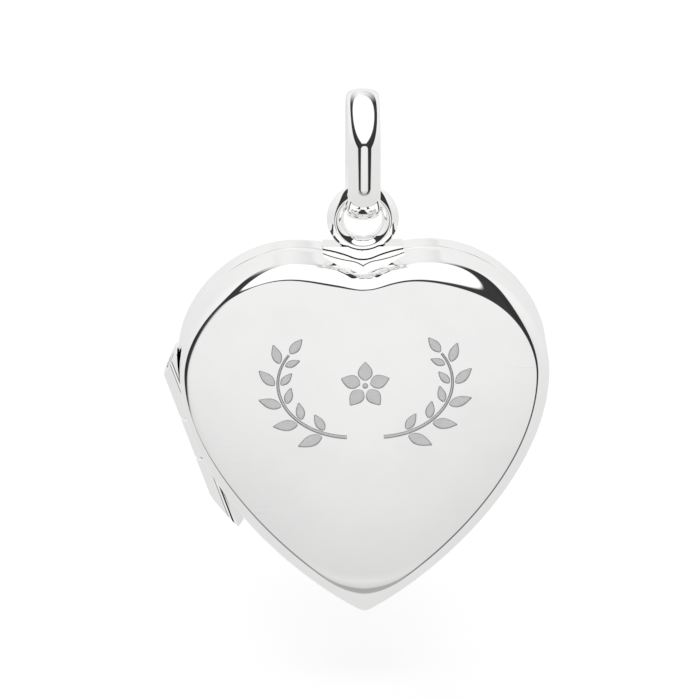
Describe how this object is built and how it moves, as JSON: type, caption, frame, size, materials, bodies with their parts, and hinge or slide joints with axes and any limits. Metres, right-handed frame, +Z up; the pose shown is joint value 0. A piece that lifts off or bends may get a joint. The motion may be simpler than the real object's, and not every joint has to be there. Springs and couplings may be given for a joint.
{
  "type": "heart locket with loop bail",
  "caption": "Polished silver heart locket: two hollow hinged covers with inner photo frames, hanging by a soldered eye from a domed oval loop bail.",
  "frame": {"origin": "chain seat: the highest point inside the bail, on its centre line", "axes": "+Z up, towards the chain; -Y out of the locket's front face; +X to the right as seen from the front"},
  "size_m": [0.026, 0.0077, 0.0362],
  "materials": {
    "polished_silver": "mirror-polished sterling silver with hairline wear",
    "satin_silver": "sterling silver left satin on the inside",
    "hinge_wire": "drawn silver wire, filed flush with the tube",
    "clear_acetate": "thin clear sheet",
    "blank_card": "matte off-white card with no print"
  },
  "bodies": {
    "bail": {"bail": "polished_silver"},
    "locket_back": {"loop_eye": "polished_silver", "eye_saddle": "polished_silver", "back_cover": "polished_silver", "back_snap_rim": "satin_silver", "catch_bead": "satin_silver", "back_hinge_bearer": "satin_silver", "knuckle_upper": "polished_silver", "knuckle_lower": "polished_silver", "hinge_pin": "hinge_wire", "back_photo_frame": "satin_silver", "back_window": "clear_acetate", "back_photo_card": "blank_card"},
    "locket_front": {"front_cover": "polished_silver", "front_seat_ring": "satin_silver", "front_hinge_bearer": "satin_silver", "knuckle_middle": "polished_silver", "front_photo_frame": "satin_silver", "front_window": "clear_acetate", "front_photo_card": "blank_card"}
  },
  "joints": [
    {"name": "bail_swing", "type": "hinge", "parent": "bail", "child": "locket_back", "pos_m": [0, 0, -0.00639], "axis": [1, 0, 0], "range_deg": [-90, 90]},
    {"name": "cover_hinge", "type": "hinge", "parent": "locket_back", "child": "locket_front", "pos_m": [-0.01116, -0.0007, -0.02342], "axis": [0.3305, 0, -0.9438], "range_deg": [0, 150]}
  ]
}
